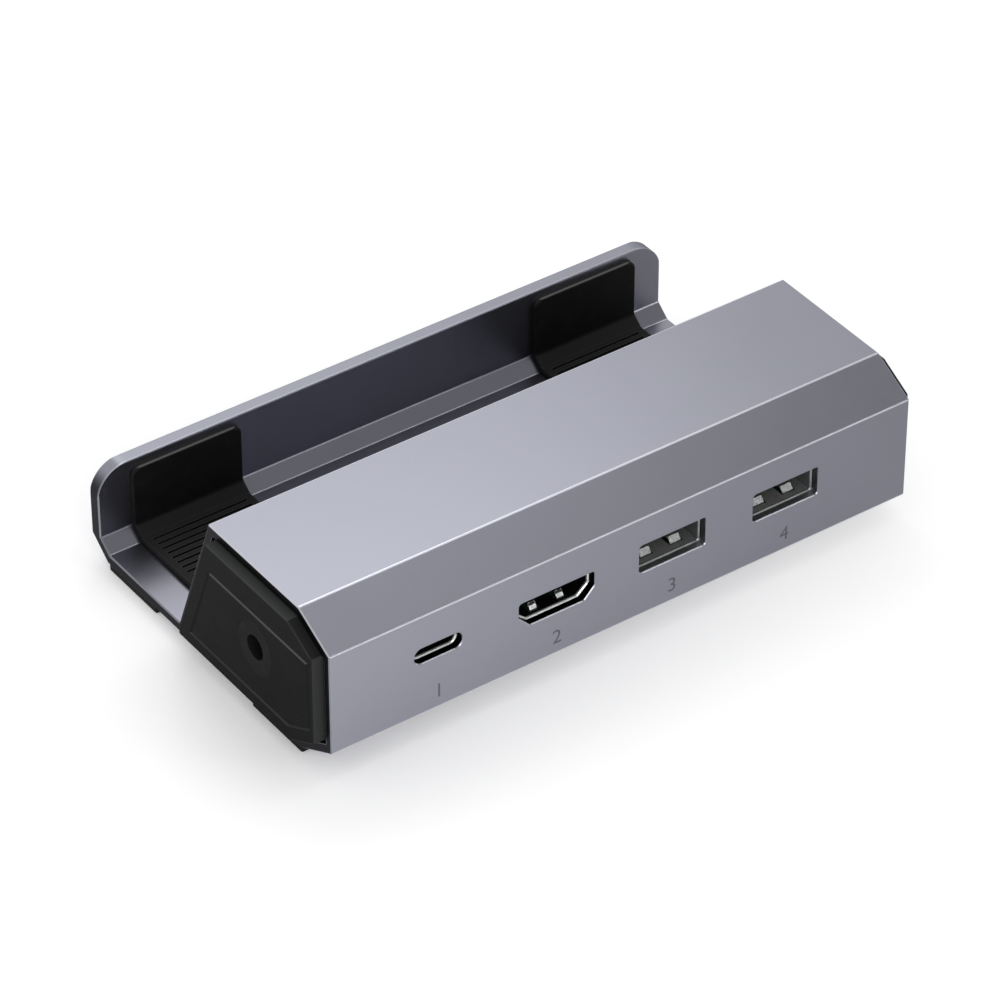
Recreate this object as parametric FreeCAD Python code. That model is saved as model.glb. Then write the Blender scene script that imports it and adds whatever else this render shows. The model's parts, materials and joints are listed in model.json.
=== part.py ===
import FreeCAD, Part
import math
import os

os.makedirs("parts", exist_ok=True)

V = FreeCAD.Vector

# Driving dimensions, in millimetres and degrees
# Extruded aluminium body: a hollow hub beside an open cradle for the console
LENGTH = 115.0
DEPTH = 70.7
HEIGHT = 29.95
SHEET = 1.9
WALL_SHEET = 2.6
HUB_SKIN = 1.7
PORT_SKIN = 1.4
PORT_FACE_LOW = 5.75
PORT_FACE_HIGH = 25.4
CHAMFER_RUN = 8.4
HUB_TOP_DEPTH = 34.0
LEAN = 20.9
CRADLE_HEIGHT = 18.5
BEVEL_RUN = 2.65
BEVEL_RISE = 2.15
CRADLE_CORNER = 5.8
CREASE = 0.35
TOP_CREASE = 0.8
LIP_RADIUS = 0.25
CAVITY_RADIUS = 0.6
END_CHAMFER = 0.2
OPENING_CHAMFER = 0.15

# Rubber foot strips
FOOT_HEIGHT = 1.3
FOOT_WIDTH = 14.4
FOOT_EDGE = 0.25
FOOT_FROM_END = 0.1
FOOT_CORNER = 0.4
FOOT_BEVEL = 0.2

# Silicone cradle pads
PAD = 1.1
PAD_WIDTH = 21.6
PAD_FROM_END = 6.0
PAD_BELOW_LIP = 1.15
PAD_CORNER = 2.0
PAD_BEND = 0.8
PAD_SOFT_EDGE = 0.3
GROOVE_PITCH = 1.5
GROOVE_WIDTH = 0.5
GROOVE_DEPTH = 0.5
GROOVE_MARGIN = 1.5

# End caps
CAP_PROUD = 1.8
CAP_SLOT = 1.5
CAP_SKIN = 1.8
CAP_DEPTH = 9.0
CAP_RIM = 1.4
CAP_FIT = 0.1
CAP_GAP = 0.45
CAP_PORT_GAP = 0.95
CAP_DRAFT = 0.1
CAP_EDGE = 0.15
CAP_CORNER = 0.3
PANEL_TOP = 22.9
PANEL_MARGIN = 2.2
PANEL_PORT_MARGIN = 0.8
PANEL_LINE = 0.6
PANEL_LINE_DEPTH = 0.3

# Cable gland in the left cap
GLAND_BORE_RADIUS = 2.25
GLAND_WALL = 1.4
GLAND_FLANGE = 0.9
GLAND_FLANGE_REACH = 1.1
GLAND_FIT = 0.05
GLAND_FROM_FRONT = 18.5
GLAND_ABOVE_BOARD = 2.4

# Circuit board and the rails that hold it
BOARD = 1.6
BOARD_TOP = 13.6
BOARD_FIT = 0.1
BOARD_EDGE = 0.3
BOARD_CORNER = 1.5
RAIL = 1.4
RAIL_REACH = 2.0
RAIL_ROOT = 0.4

# Sockets: opening width and height, shell depth and height of the centre over the board
PORT_PITCH = 23.0
PORT_SHIFT = -2.4
REVEAL_SIDE = 0.42
REVEAL_TOP = 0.2
SHELL = 0.3
MOUTH_FLARE = 0.2
SOCKET_FIT = 0.05
SOCKET_BLOCK = 2.6
PLINTH = 1.2
LEG = 1.6
POWER_WIDTH = 8.34
POWER_HEIGHT = 2.56
POWER_CORNER = 1.2
POWER_DEPTH = 7.4
POWER_RISE = 3.85
VIDEO_WIDTH = 14.0
VIDEO_HEIGHT = 4.55
VIDEO_SHOULDER = 2.75
VIDEO_FOOT = 9.8
VIDEO_CORNER = 0.4
VIDEO_DEPTH = 10.6
VIDEO_RISE = 2.8
DATA_WIDTH = 12.5
DATA_HEIGHT = 5.12
DATA_CORNER = 0.4
DATA_DEPTH = 13.8
DATA_RISE = 3.37
SPRING_CREST = 0.95
SPRING_NOSE = 0.75
CONTACT = 0.12
TAIL = 0.15
TAIL_FOOT = 0.8

# Board components
HUB_CHIP = 9.0
VIDEO_CHIP = 8.0
POWER_CHIP = 5.0
CHIP_HEIGHT = 0.9
CHIP_EDGE = 0.15
COIL_SIZE = 6.8
COIL_HEIGHT = 3.2
CAN_RADIUS = 2.5
CAN_HEIGHT = 5.4
SMALL_CAP_LENGTH = 2.0
SMALL_CAP_WIDTH = 1.25
SMALL_CAP_HEIGHT = 1.0
SMALL_CAP_ROW = 5
CRYSTAL_LENGTH = 5.4
CRYSTAL_WIDTH = 3.2
CRYSTAL_HEIGHT = 1.4
HEADER_LENGTH = 8.0
HEADER_WIDTH = 5.0
HEADER_HEIGHT = 3.6
HEADER_WALL = 0.7

# Planes and lines that follow from the driving dimensions
FRONT = -DEPTH / 2
BACK = DEPTH / 2
UNDERSIDE = FOOT_HEIGHT
FLOOR = UNDERSIDE + SHEET
WALL = BACK - WALL_SHEET
END = LENGTH / 2
SLOPE = math.tan(math.radians(LEAN))
SLOPE_SKIN = HUB_SKIN / math.cos(math.radians(LEAN))
MOUTH = FRONT + PORT_SKIN
RAIL_END = END - CAP_DEPTH
BOARD_LOW = BOARD_TOP - BOARD
OVERSHOOT = 1.0
TOLERANCE = 1e-6


def slope_y(z):
    """Y of the sloped back of the hub, where the console leans, at a height."""
    return FRONT + HUB_TOP_DEPTH + (HEIGHT - z) * SLOPE


def yz(x):
    return lambda y, z: V(x, y, z)


def xz(y):
    return lambda x, z: V(x, y, z)


def xy(z):
    return lambda x, y: V(x, y, z)


def rectangle(u0, v0, u1, v1):
    return [(u0, v0), (u1, v0), (u1, v1), (u0, v1)]


def shifted(points, distances, closed=True):
    """Corners of a path after each edge has moved to its left by its own distance."""
    count = len(points)
    lines = []
    for i in range(count if closed else count - 1):
        (u0, v0), (u1, v1) = points[i], points[(i + 1) % count]
        length = math.hypot(u1 - u0, v1 - v0)
        du = (u1 - u0) / length
        dv = (v1 - v0) / length
        lines.append((u0 - dv * distances[i], v0 + du * distances[i], du, dv, length))
    corners = []
    for i in range(0 if closed else 1, len(lines)):
        u0, v0, du, dv, _ = lines[i - 1]
        u1, v1, eu, ev, _ = lines[i]
        along = ((u1 - u0) * ev - (v1 - v0) * eu) / (du * ev - dv * eu)
        corners.append((u0 + along * du, v0 + along * dv))
    if closed:
        return corners
    u, v, du, dv, length = lines[-1]
    return [lines[0][:2]] + corners + [(u + du * length, v + dv * length)]


def outline(points, radii, place):
    """Closed wire through the points, with an arc at each corner that has a radius."""
    count = len(points)
    corners = []
    for i in range(count):
        here = place(*points[i])
        back = (place(*points[i - 1]) - here).normalize()
        ahead = (place(*points[(i + 1) % count]) - here).normalize()
        half = back.getAngle(ahead) / 2
        reach = radii[i] / math.tan(half)
        middle = here + (back + ahead).normalize() * (radii[i] / math.sin(half) - radii[i])
        corners.append((here + back * reach, middle, here + ahead * reach, radii[i]))
    edges = []
    for i in range(count):
        start, middle, end, radius = corners[i]
        if radius:
            edges.append(Part.Arc(start, middle, end).toShape())
        edges.append(Part.makeLine(end, corners[(i + 1) % count][0]))
    return Part.Wire(edges)


def prism(points, radii, place, direction):
    return Part.Face(outline(points, radii, place)).extrude(direction)


def box(x0, y0, z0, x1, y1, z1):
    return Part.makeBox(x1 - x0, y1 - y0, z1 - z0, V(x0, y0, z0))


def joined(shapes):
    return shapes[0].multiFuse(shapes[1:]).removeSplitter()


# Outline of the hub, counter-clockwise from the underside's port edge
HUB_LOOP = [
    (FRONT + CHAMFER_RUN, UNDERSIDE),
    (slope_y(UNDERSIDE), UNDERSIDE),
    (slope_y(HEIGHT), HEIGHT),
    (FRONT + CHAMFER_RUN, HEIGHT),
    (FRONT, PORT_FACE_HIGH),
    (FRONT, PORT_FACE_LOW),
]


def hub_inset(skin, port_skin):
    """The hub's outline moved inwards, with its own distance on the port side."""
    return shifted(HUB_LOOP, [skin, skin, skin, skin, port_skin, skin])


CAVITY = hub_inset(HUB_SKIN, PORT_SKIN)
SIX = len(HUB_LOOP)

# Inner surface of the cradle, from the slope to the lip of its wall
CRADLE_PATH = [
    (slope_y(HEIGHT), HEIGHT),
    (slope_y(FLOOR), FLOOR),
    (WALL - BEVEL_RUN, FLOOR),
    (WALL, FLOOR + BEVEL_RISE),
    (WALL, CRADLE_HEIGHT),
]
CRADLE_OUTSIDE = shifted(CRADLE_PATH[1:], [-SHEET, -SHEET, -WALL_SHEET], closed=False)
BODY_LOOP = HUB_LOOP[:1] + CRADLE_OUTSIDE[1:] + CRADLE_PATH[::-1] + HUB_LOOP[3:]
BODY_RADII = [CREASE] * 3 + [LIP_RADIUS] * 2 + [CREASE] * 4 + [TOP_CREASE] + [CREASE] * 2


def port_x(place):
    """X of a socket, counted from the left of the row of four."""
    return PORT_SHIFT + (place - 1.5) * PORT_PITCH


def rounded_opening(width, height):
    return rectangle(-width / 2, -height / 2, width / 2, height / 2)


def video_opening(width, height):
    """Six-sided opening: upright sides down to a shoulder, then slanted in to a narrow foot."""
    narrow = (VIDEO_WIDTH - VIDEO_FOOT) / 2
    shoulder = height / 2 - VIDEO_SHOULDER
    return [
        (-width / 2 + narrow, -height / 2),
        (width / 2 - narrow, -height / 2),
        (width / 2, shoulder),
        (width / 2, height / 2),
        (-width / 2, height / 2),
        (-width / 2, shoulder),
    ]


DATA_SOCKET = {
    "opening": rounded_opening, "width": DATA_WIDTH, "height": DATA_HEIGHT, "corner": DATA_CORNER,
    "depth": DATA_DEPTH, "rise": DATA_RISE,
    "tongue_width": 11.1, "tongue": 1.84, "tongue_shift": 0.94, "set_back": 1.7,
    "contacts": {-1: 4}, "contact_pitch": 2.3, "contact_width": 1.1, "tails": 4, "tail_pitch": 2.3,
    "spring_spacing": 6.0, "spring_width": 2.1, "spring_tip": 1.8, "spring_length": 5.6,
}
VIDEO_SOCKET = {
    "opening": video_opening, "width": VIDEO_WIDTH, "height": VIDEO_HEIGHT, "corner": VIDEO_CORNER,
    "depth": VIDEO_DEPTH, "rise": VIDEO_RISE,
    "tongue_width": 11.0, "tongue": 1.0, "tongue_shift": 0.3, "set_back": 1.6,
    "contacts": {1: 10, -1: 9}, "contact_pitch": 1.0, "contact_width": 0.45, "tails": 19, "tail_pitch": 0.5,
    "spring_spacing": 5.3, "spring_width": 1.3, "spring_tip": 1.4, "spring_length": 4.2,
}
POWER_SOCKET = {
    "opening": rounded_opening, "width": POWER_WIDTH, "height": POWER_HEIGHT, "corner": POWER_CORNER,
    "depth": POWER_DEPTH, "rise": POWER_RISE,
    "tongue_width": 6.7, "tongue": 0.7, "tongue_shift": 0.0, "set_back": 0.9,
    "contacts": {1: 12, -1: 12}, "contact_pitch": 0.5, "contact_width": 0.26, "tails": 12, "tail_pitch": 0.5,
}
SOCKETS = {
    "power_socket": (0, POWER_SOCKET),
    "video_socket": (1, VIDEO_SOCKET),
    "left_data_socket": (2, DATA_SOCKET),
    "right_data_socket": (3, DATA_SOCKET),
}


def placed_opening(place, socket, grow_side, grow_top):
    """Outline of a socket's opening at its place, grown at its sides and at top and bottom."""
    x = port_x(place)
    z = BOARD_TOP + socket["rise"]
    loop = socket["opening"](socket["width"] + 2 * grow_side, socket["height"] + 2 * grow_top)
    return [(x + u, z + v) for u, v in loop]


def opening_prism(place, socket, grow, y0, y1):
    """Prism of a socket's opening, grown evenly all round, between two planes."""
    loop = placed_opening(place, socket, 0, 0)
    loop = shifted(loop, [-grow] * len(loop))
    return prism(loop, [socket["corner"] + grow] * len(loop), xz(y0), V(0, y1 - y0, 0))


def cut_out(place, socket):
    """Prism of the hole in the port face in front of a socket."""
    loop = placed_opening(place, socket, REVEAL_SIDE, REVEAL_TOP)
    corner = socket["corner"] + REVEAL_TOP
    return prism(loop, [corner] * len(loop), xz(FRONT - OVERSHOOT), V(0, PORT_SKIN + OVERSHOOT, 0))


def wall_corner(side):
    """Solid that rounds one upper corner of the cradle's wall."""
    y0 = WALL - OVERSHOOT
    radius = CRADLE_CORNER
    middle = radius * math.sqrt(0.5)
    inner = side * (END - radius)
    low = CRADLE_HEIGHT - radius
    tip = V(side * END, y0, CRADLE_HEIGHT)
    start = V(side * END, y0, low)
    end = V(inner, y0, CRADLE_HEIGHT)
    arc = Part.Arc(start, V(inner + side * middle, y0, low + middle), end).toShape()
    wire = Part.Wire([Part.makeLine(tip, start), arc, Part.makeLine(end, tip)])
    return Part.Face(wire).extrude(V(0, WALL_SHEET + 2 * OVERSHOOT, 0))


def board_rear():
    """Rear edge of the board, just clear of the sloped skin."""
    return slope_y(BOARD_TOP) - SLOPE_SKIN - BOARD_EDGE


def board_rails():
    """Ledge on the port side and a slot of two ribs on the sloped side."""
    ledge_low = BOARD_LOW - BOARD_FIT - RAIL
    loops = [rectangle(MOUTH - RAIL_ROOT, ledge_low, MOUTH + RAIL_REACH, ledge_low + RAIL)]
    for z in (ledge_low, BOARD_TOP + BOARD_FIT):
        skin = slope_y(z) - SLOPE_SKIN
        loops.append(rectangle(board_rear() - RAIL_REACH, z, skin + RAIL_ROOT, z + RAIL))
    return [prism(loop, [0] * len(loop), yz(-RAIL_END), V(2 * RAIL_END, 0, 0)) for loop in loops]


def body_extrusion():
    along = V(LENGTH, 0, 0)
    bar = prism(BODY_LOOP, BODY_RADII, yz(-END), along)
    ends = [face for face in bar.Faces if face.BoundBox.XLength < TOLERANCE]
    bar = bar.makeChamfer(END_CHAMFER, [edge for face in ends for edge in face.Edges])
    body = bar.cut(prism(CAVITY, [CAVITY_RADIUS] * SIX, yz(-END), along))
    body = joined([body] + board_rails())
    cutters = [wall_corner(side) for side in (-1, 1)]
    cutters += [cut_out(place, socket) for place, socket in SOCKETS.values()]
    body = body.cut(Part.makeCompound(cutters))
    flush = [face for face in body.Faces if face.BoundBox.YMax < FRONT + TOLERANCE]
    port_face = max(flush, key=lambda face: face.Area)
    rims = [wire for wire in port_face.Wires if not wire.isSame(port_face.OuterWire)]
    return body.makeChamfer(OPENING_CHAMFER, [edge for wire in rims for edge in wire.Edges])


def foot_strip(y_low):
    x = END - FOOT_FROM_END
    loop = rectangle(-x, y_low, x, y_low + FOOT_WIDTH)
    strip = prism(loop, [FOOT_CORNER] * len(loop), xy(0), V(0, 0, FOOT_HEIGHT))
    lower = [edge for edge in strip.Edges if edge.BoundBox.ZMax < TOLERANCE]
    return strip.makeChamfer(FOOT_BEVEL, lower)


def cradle_pad(side):
    """Silicone strip that lines the cradle from the slope, over the floor, up the wall."""
    top = CRADLE_HEIGHT - PAD_BELOW_LIP
    path = [(slope_y(top), top)] + CRADLE_PATH[1:4] + [(WALL, top)]
    inner = shifted(path, [PAD] * 4, closed=False)
    radii = [0] + [CREASE] * 3 + [0] * 2 + [PAD_BEND] * 3 + [0]
    x_out = side * (END - PAD_FROM_END)
    x_in = x_out - side * PAD_WIDTH
    x0 = min(x_out, x_in)
    pad = prism(path + inner[::-1], radii, yz(x0), V(PAD_WIDTH, 0, 0))
    leg_tops = [edge for edge in pad.Edges
                if edge.BoundBox.XLength < TOLERANCE and edge.CenterOfMass.z > top - PAD
                and edge.Length < 1.5 * PAD]
    pad = pad.makeFillet(PAD_CORNER, leg_tops)
    wall_face = max((face for face in pad.Faces if abs(face.CenterOfMass.y - WALL + PAD) < TOLERANCE),
                    key=lambda face: face.Area)
    soft = [edge for edge in wall_face.Edges if edge.CenterOfMass.z > top - PAD_CORNER]
    pad = pad.makeChamfer(PAD_SOFT_EDGE, soft)
    floor_low = inner[1][0] + GROOVE_MARGIN
    count = int((inner[2][0] - floor_low) / GROOVE_PITCH)
    grooves = []
    for i in range(count):
        y = inner[2][0] - (i + 1) * GROOVE_PITCH
        grooves.append(box(x0 + GROOVE_MARGIN, y, FLOOR + PAD - GROOVE_DEPTH,
                           x0 + PAD_WIDTH - GROOVE_MARGIN, y + GROOVE_WIDTH, FLOOR + 2 * PAD))
    return pad.cut(Part.makeCompound(grooves))


def end_cap(side):
    """Moulded cap: a spigot in the hub's hollow, a plate and a proud panel with a slot round it."""
    def at(depth):
        return yz(side * (END - depth))

    def inward(length):
        return V(-side * length, 0, 0)

    rim = [CAVITY_RADIUS] * SIX
    round_corners = [CAP_CORNER] * SIX
    fitted = hub_inset(HUB_SKIN + CAP_FIT, PORT_SKIN + CAP_FIT)
    hollow = hub_inset(HUB_SKIN + CAP_FIT + CAP_RIM, PORT_SKIN + CAP_FIT + CAP_RIM)
    base = hub_inset(HUB_SKIN + CAP_GAP, PORT_SKIN + CAP_PORT_GAP)
    brow = hub_inset(HUB_SKIN + CAP_GAP + CAP_DRAFT, PORT_SKIN + CAP_PORT_GAP + CAP_DRAFT)
    face_skin = HUB_SKIN + CAP_GAP + CAP_DRAFT + CAP_EDGE
    face_port_skin = PORT_SKIN + CAP_PORT_GAP + CAP_DRAFT + CAP_EDGE
    face = hub_inset(face_skin, face_port_skin)
    pocket = hub_inset(face_skin + CAP_SKIN, face_port_skin + CAP_SKIN)
    square_corners = [0] * SIX
    plate_back = CAP_SLOT + CAP_SKIN
    sides = Part.makeLoft([outline(base, round_corners, at(CAP_SLOT + CAP_FIT)),
                           outline(brow, round_corners, at(CAP_EDGE - CAP_PROUD))], True, True)
    edge = Part.makeLoft([outline(brow, round_corners, at(CAP_EDGE - CAP_PROUD)),
                          outline(face, round_corners, at(-CAP_PROUD))], True, True)
    spigot = prism(fitted, rim, at(CAP_SLOT), inward(CAP_DEPTH - CAP_SLOT))
    spigot = spigot.cut(prism(hollow, rim, at(plate_back), inward(CAP_DEPTH)))
    cap = joined([spigot, sides, edge])
    cap = cap.cut(prism(pocket, square_corners, at(CAP_SKIN - CAP_PROUD), inward(CAP_DEPTH)))
    return cap.cut(panel_line(at, face_skin, face_port_skin))


def panel_line(at, skin, port_skin):
    """Moulded line of V section round the panel in the cap's face."""
    loop = HUB_LOOP[:2] + [(slope_y(PANEL_TOP), PANEL_TOP), (FRONT, PANEL_TOP), HUB_LOOP[5]]
    sides = len(loop)
    reach = skin + PANEL_MARGIN
    outer = shifted(loop, [reach, reach, 0, port_skin + PANEL_PORT_MARGIN, reach])

    def tapered(inset):
        """Solid from the outline at the face to the line's root, half a width inside the outer one."""
        root = shifted(outer, [PANEL_LINE / 2] * sides)
        lip = shifted(outer, [inset] * sides)
        return Part.makeLoft([outline(lip, [0] * sides, at(-CAP_PROUD)),
                              outline(root, [0] * sides, at(PANEL_LINE_DEPTH - CAP_PROUD))], True, True)

    return tapered(0).cut(tapered(PANEL_LINE))


def gland_axis():
    """Outer end of the gland's axis, on the left cap's face."""
    return V(-END - CAP_PROUD, FRONT + GLAND_FROM_FRONT, BOARD_TOP + GLAND_ABOVE_BOARD)


def gland_body(grow):
    """Flanged bush turned about the gland's axis, grown by a fit."""
    neck = GLAND_BORE_RADIUS + GLAND_WALL + grow
    flange = neck + GLAND_FLANGE_REACH
    length = CAP_SKIN + GLAND_FLANGE
    face = gland_axis()
    inward = V(1, 0, 0)
    outer = Part.makeCylinder(flange, GLAND_FLANGE, face, inward)
    shank = Part.makeCylinder(neck, length, face, inward)
    inner = Part.makeCylinder(flange, GLAND_FLANGE, face + inward * CAP_SKIN, inward)
    return joined([outer, shank, inner])


def cable_gland():
    length = CAP_SKIN + GLAND_FLANGE
    bore = Part.makeCylinder(GLAND_BORE_RADIUS, length, gland_axis(), V(1, 0, 0))
    return gland_body(0).cut(bore)


def left_end_cap():
    return end_cap(-1).cut(gland_body(GLAND_FIT))


def main_board():
    half = RAIL_END - BOARD_FIT
    loop = rectangle(-half, MOUTH + BOARD_EDGE, half, board_rear())
    return prism(loop, [BOARD_CORNER] * 4, xy(BOARD_LOW), V(0, 0, BOARD))


def spring_finger(x, z, y0, length, width):
    """Bent strip that rises from the shell's floor to a crest and dips at its tip by the mouth."""
    crest = z + SPRING_CREST
    nose = y0 + SPRING_NOSE
    profile = [
        (y0, z), (nose, crest), (y0 + length, z),
        (y0 + length, z - SHELL), (nose, crest - SHELL), (y0, z - SHELL),
    ]
    return prism(profile, [0] * len(profile), yz(x - width / 2), V(width, 0, 0))


def mouth_flare(place, socket):
    """Bevel round the inner edge of a shell's mouth, which leads the plug in."""
    loop = placed_opening(place, socket, 0, 0)
    sides = len(loop)
    corner = socket["corner"]
    wide = shifted(loop, [-MOUTH_FLARE] * sides)
    return Part.makeLoft([outline(wide, [corner + MOUTH_FLARE] * sides, xz(MOUTH)),
                          outline(loop, [corner] * sides, xz(MOUTH + MOUTH_FLARE))], True, True)


def socket_shell(place, socket):
    """Folded steel shell with a flared mouth, legs on the board and spring fingers in its floor."""
    end = MOUTH + socket["depth"]
    x = port_x(place)
    z = BOARD_TOP + socket["rise"]
    half = socket["width"] / 2
    tube = opening_prism(place, socket, SHELL, MOUTH, end)
    tube = tube.cut(opening_prism(place, socket, 0, MOUTH, end)).cut(mouth_flare(place, socket))
    pieces = [tube]
    for side in (-1, 1):
        inner = x + side * half
        outer = inner + side * SHELL
        for y in (MOUTH + LEG, end - 2 * LEG):
            pieces.append(box(min(inner, outer), y, BOARD_TOP, max(inner, outer), y + LEG, z))
    shell = joined(pieces)
    if "spring_spacing" not in socket:
        return shell
    floor = z - socket["height"] / 2
    width = socket["spring_width"]
    y0 = MOUTH + socket["spring_tip"]
    y1 = y0 + socket["spring_length"]
    for side in (-1, 1):
        middle = x + side * socket["spring_spacing"] / 2
        shell = shell.cut(box(middle - width / 2 - SHELL, y0 - SHELL, floor - 2 * SHELL,
                              middle + width / 2 + SHELL, y1 - SHELL, floor + SHELL / 2))
        shell = joined([shell, spring_finger(middle, floor, y0, socket["spring_length"], width)])
    return shell


def socket_insulator(place, socket):
    """Moulding that closes the shell, carries the tongue and stands on the board."""
    end = MOUTH + socket["depth"]
    x = port_x(place)
    z = BOARD_TOP + socket["rise"]
    tongue_z = z + socket["tongue_shift"]
    block = opening_prism(place, socket, -SOCKET_FIT, end - SOCKET_BLOCK, end + SOCKET_FIT)
    tongue = box(x - socket["tongue_width"] / 2, MOUTH + socket["set_back"], tongue_z - socket["tongue"] / 2,
                 x + socket["tongue_width"] / 2, end, tongue_z + socket["tongue"] / 2)
    half = socket["width"] / 2
    plinth = box(x - half, end + SOCKET_FIT, BOARD_TOP, x + half, end + SOCKET_FIT + PLINTH,
                 z + socket["height"] / 2)
    return joined([block, tongue, plinth])


def socket_contacts(place, socket):
    """Contact strips on the tongue and solder tails behind the plinth."""
    x = port_x(place)
    tongue_z = BOARD_TOP + socket["rise"] + socket["tongue_shift"]
    y0 = MOUTH + socket["set_back"] + socket["tongue"] / 2
    y1 = MOUTH + socket["depth"] - SOCKET_BLOCK
    half = socket["contact_width"] / 2
    strips = []
    for face, count in socket["contacts"].items():
        surface = tongue_z + face * socket["tongue"] / 2
        low = min(surface, surface + face * CONTACT)
        for i in range(count):
            middle = x + (i - (count - 1) / 2) * socket["contact_pitch"]
            strips.append(box(middle - half, y0, low, middle + half, y1, low + CONTACT))
    rear = MOUTH + socket["depth"] + SOCKET_FIT + PLINTH
    profile = [
        (rear, BOARD_TOP), (rear + TAIL_FOOT, BOARD_TOP), (rear + TAIL_FOOT, BOARD_TOP + TAIL),
        (rear + TAIL, BOARD_TOP + TAIL), (rear + TAIL, BOARD_TOP + socket["rise"]),
        (rear, BOARD_TOP + socket["rise"]),
    ]
    for i in range(socket["tails"]):
        middle = x + (i - (socket["tails"] - 1) / 2) * socket["tail_pitch"]
        strips.append(prism(profile, [0] * len(profile), yz(middle - TAIL), V(2 * TAIL, 0, 0)))
    return Part.makeCompound(strips)


# Strip of board behind the sockets, where the components stand
ROW_FRONT = MOUTH + DATA_DEPTH + PLINTH + SOCKET_FIT + TAIL_FOOT
ROW_REAR = board_rear() - RAIL_REACH
ROW = (ROW_FRONT + ROW_REAR) / 2


def chip(x, size):
    """Square package with bevelled upper edges."""
    half = size / 2
    top = BOARD_TOP + CHIP_HEIGHT
    body = box(x - half, ROW - half, BOARD_TOP, x + half, ROW + half, top)
    upper = [edge for edge in body.Edges if edge.BoundBox.ZMin > BOARD_TOP + CHIP_EDGE]
    return body.makeChamfer(CHIP_EDGE, upper)


def coil_x():
    return port_x(0) + POWER_WIDTH


def power_chip_x():
    """Middle of the room between the coil and the video package."""
    return (coil_x() + COIL_SIZE / 2 + port_x(1) - VIDEO_CHIP / 2) / 2


def power_coil():
    """Shielded coil: a square block with rounded corners and a round core on top."""
    half = COIL_SIZE / 2
    x = coil_x()
    core = Part.makeCylinder(half - SHELL - CHIP_EDGE, COIL_HEIGHT, V(x, ROW, BOARD_TOP))
    block = prism(rectangle(x - half, ROW - half, x + half, ROW + half), [half / 4] * 4, xy(BOARD_TOP),
                  V(0, 0, COIL_HEIGHT - SHELL))
    return joined([block, core])


def header_x():
    """Middle of the wire header, at the gland's end of the board."""
    return HEADER_WALL + HEADER_WIDTH / 2 - RAIL_END


def bulk_capacitors():
    """Two can capacitors with bevelled rims, between the wire header and the coil."""
    x = (header_x() + HEADER_WIDTH / 2 + coil_x() - COIL_SIZE / 2) / 2
    cans = []
    for side in (-1, 1):
        profile = [
            (0, 0), (CAN_RADIUS, 0), (CAN_RADIUS, CAN_HEIGHT - SHELL),
            (CAN_RADIUS - SHELL, CAN_HEIGHT), (0, CAN_HEIGHT),
        ]
        at = V(x, ROW + side * (CAN_RADIUS + SHELL), BOARD_TOP)
        wire = Part.makePolygon([at + V(r, 0, z) for r, z in profile + profile[:1]])
        cans.append(Part.Face(wire).revolve(at, V(0, 0, 1), 360))
    return Part.makeCompound(cans)


def small_capacitors():
    """Rows of small chip capacitors beside the two large packages."""
    pieces = []
    for place in (1, 2):
        x = port_x(place) + PORT_PITCH / 2
        half = SMALL_CAP_LENGTH / 2
        top = BOARD_TOP + SMALL_CAP_HEIGHT
        for i in range(SMALL_CAP_ROW):
            y = ROW + (2 * i - SMALL_CAP_ROW + 0.5) * SMALL_CAP_WIDTH
            pieces.append(box(x - half, y, BOARD_TOP, x + half, y + SMALL_CAP_WIDTH, top))
    return Part.makeCompound(pieces)


def clock_crystal():
    """Low metal can with rounded ends on a thin flange."""
    x = port_x(3)
    pieces = []
    for grow, height in ((SHELL, SHELL), (0, CRYSTAL_HEIGHT)):
        u = CRYSTAL_LENGTH / 2 + grow
        v = CRYSTAL_WIDTH / 2 + grow
        loop = rectangle(x - u, ROW - v, x + u, ROW + v)
        pieces.append(prism(loop, [v - CHIP_EDGE] * 4, xy(BOARD_TOP), V(0, 0, height)))
    return joined(pieces)


def cable_header():
    """Open wire socket behind the gland."""
    x0 = header_x() - HEADER_WIDTH / 2
    x1 = x0 + HEADER_WIDTH
    y0 = gland_axis().y - HEADER_LENGTH / 2
    y1 = y0 + HEADER_LENGTH
    wall = HEADER_WALL
    top = BOARD_TOP + HEADER_HEIGHT
    case = box(x0, y0, BOARD_TOP, x1, y1, top)
    return case.cut(box(x0 + wall, y0 + wall, BOARD_TOP + wall, x1 - wall, y1 - wall, top))


UNDERSIDE_FLAT = (FRONT + CHAMFER_RUN, CRADLE_OUTSIDE[1][0])

NODES = {
    "body_extrusion": body_extrusion(),
    "left_end_cap": left_end_cap(),
    "right_end_cap": end_cap(1),
    "cable_gland": cable_gland(),
    "left_cradle_pad": cradle_pad(-1),
    "right_cradle_pad": cradle_pad(1),
    "port_side_foot": foot_strip(UNDERSIDE_FLAT[0] + FOOT_EDGE),
    "cradle_side_foot": foot_strip(UNDERSIDE_FLAT[1] - FOOT_EDGE - FOOT_WIDTH),
    "main_board": main_board(),
    "hub_chip": chip(port_x(2), HUB_CHIP),
    "video_chip": chip(port_x(1), VIDEO_CHIP),
    "power_chip": chip(power_chip_x(), POWER_CHIP),
    "power_coil": power_coil(),
    "bulk_capacitors": bulk_capacitors(),
    "small_capacitors": small_capacitors(),
    "clock_crystal": clock_crystal(),
    "cable_header": cable_header(),
}
for socket_name, (socket_place, socket_sizes) in SOCKETS.items():
    NODES[socket_name + "_shell"] = socket_shell(socket_place, socket_sizes)
    NODES[socket_name + "_insulator"] = socket_insulator(socket_place, socket_sizes)
    NODES[socket_name + "_contacts"] = socket_contacts(socket_place, socket_sizes)

for node_name, shape in NODES.items():
    shape.exportStep(os.path.join("parts", node_name + ".step"))
    print(node_name, shape.isValid(), len(shape.Solids), round(shape.Volume, 1))
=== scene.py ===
"""Looks of a low aluminium dock that holds a handheld game console upright."""
import json
import math

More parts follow.
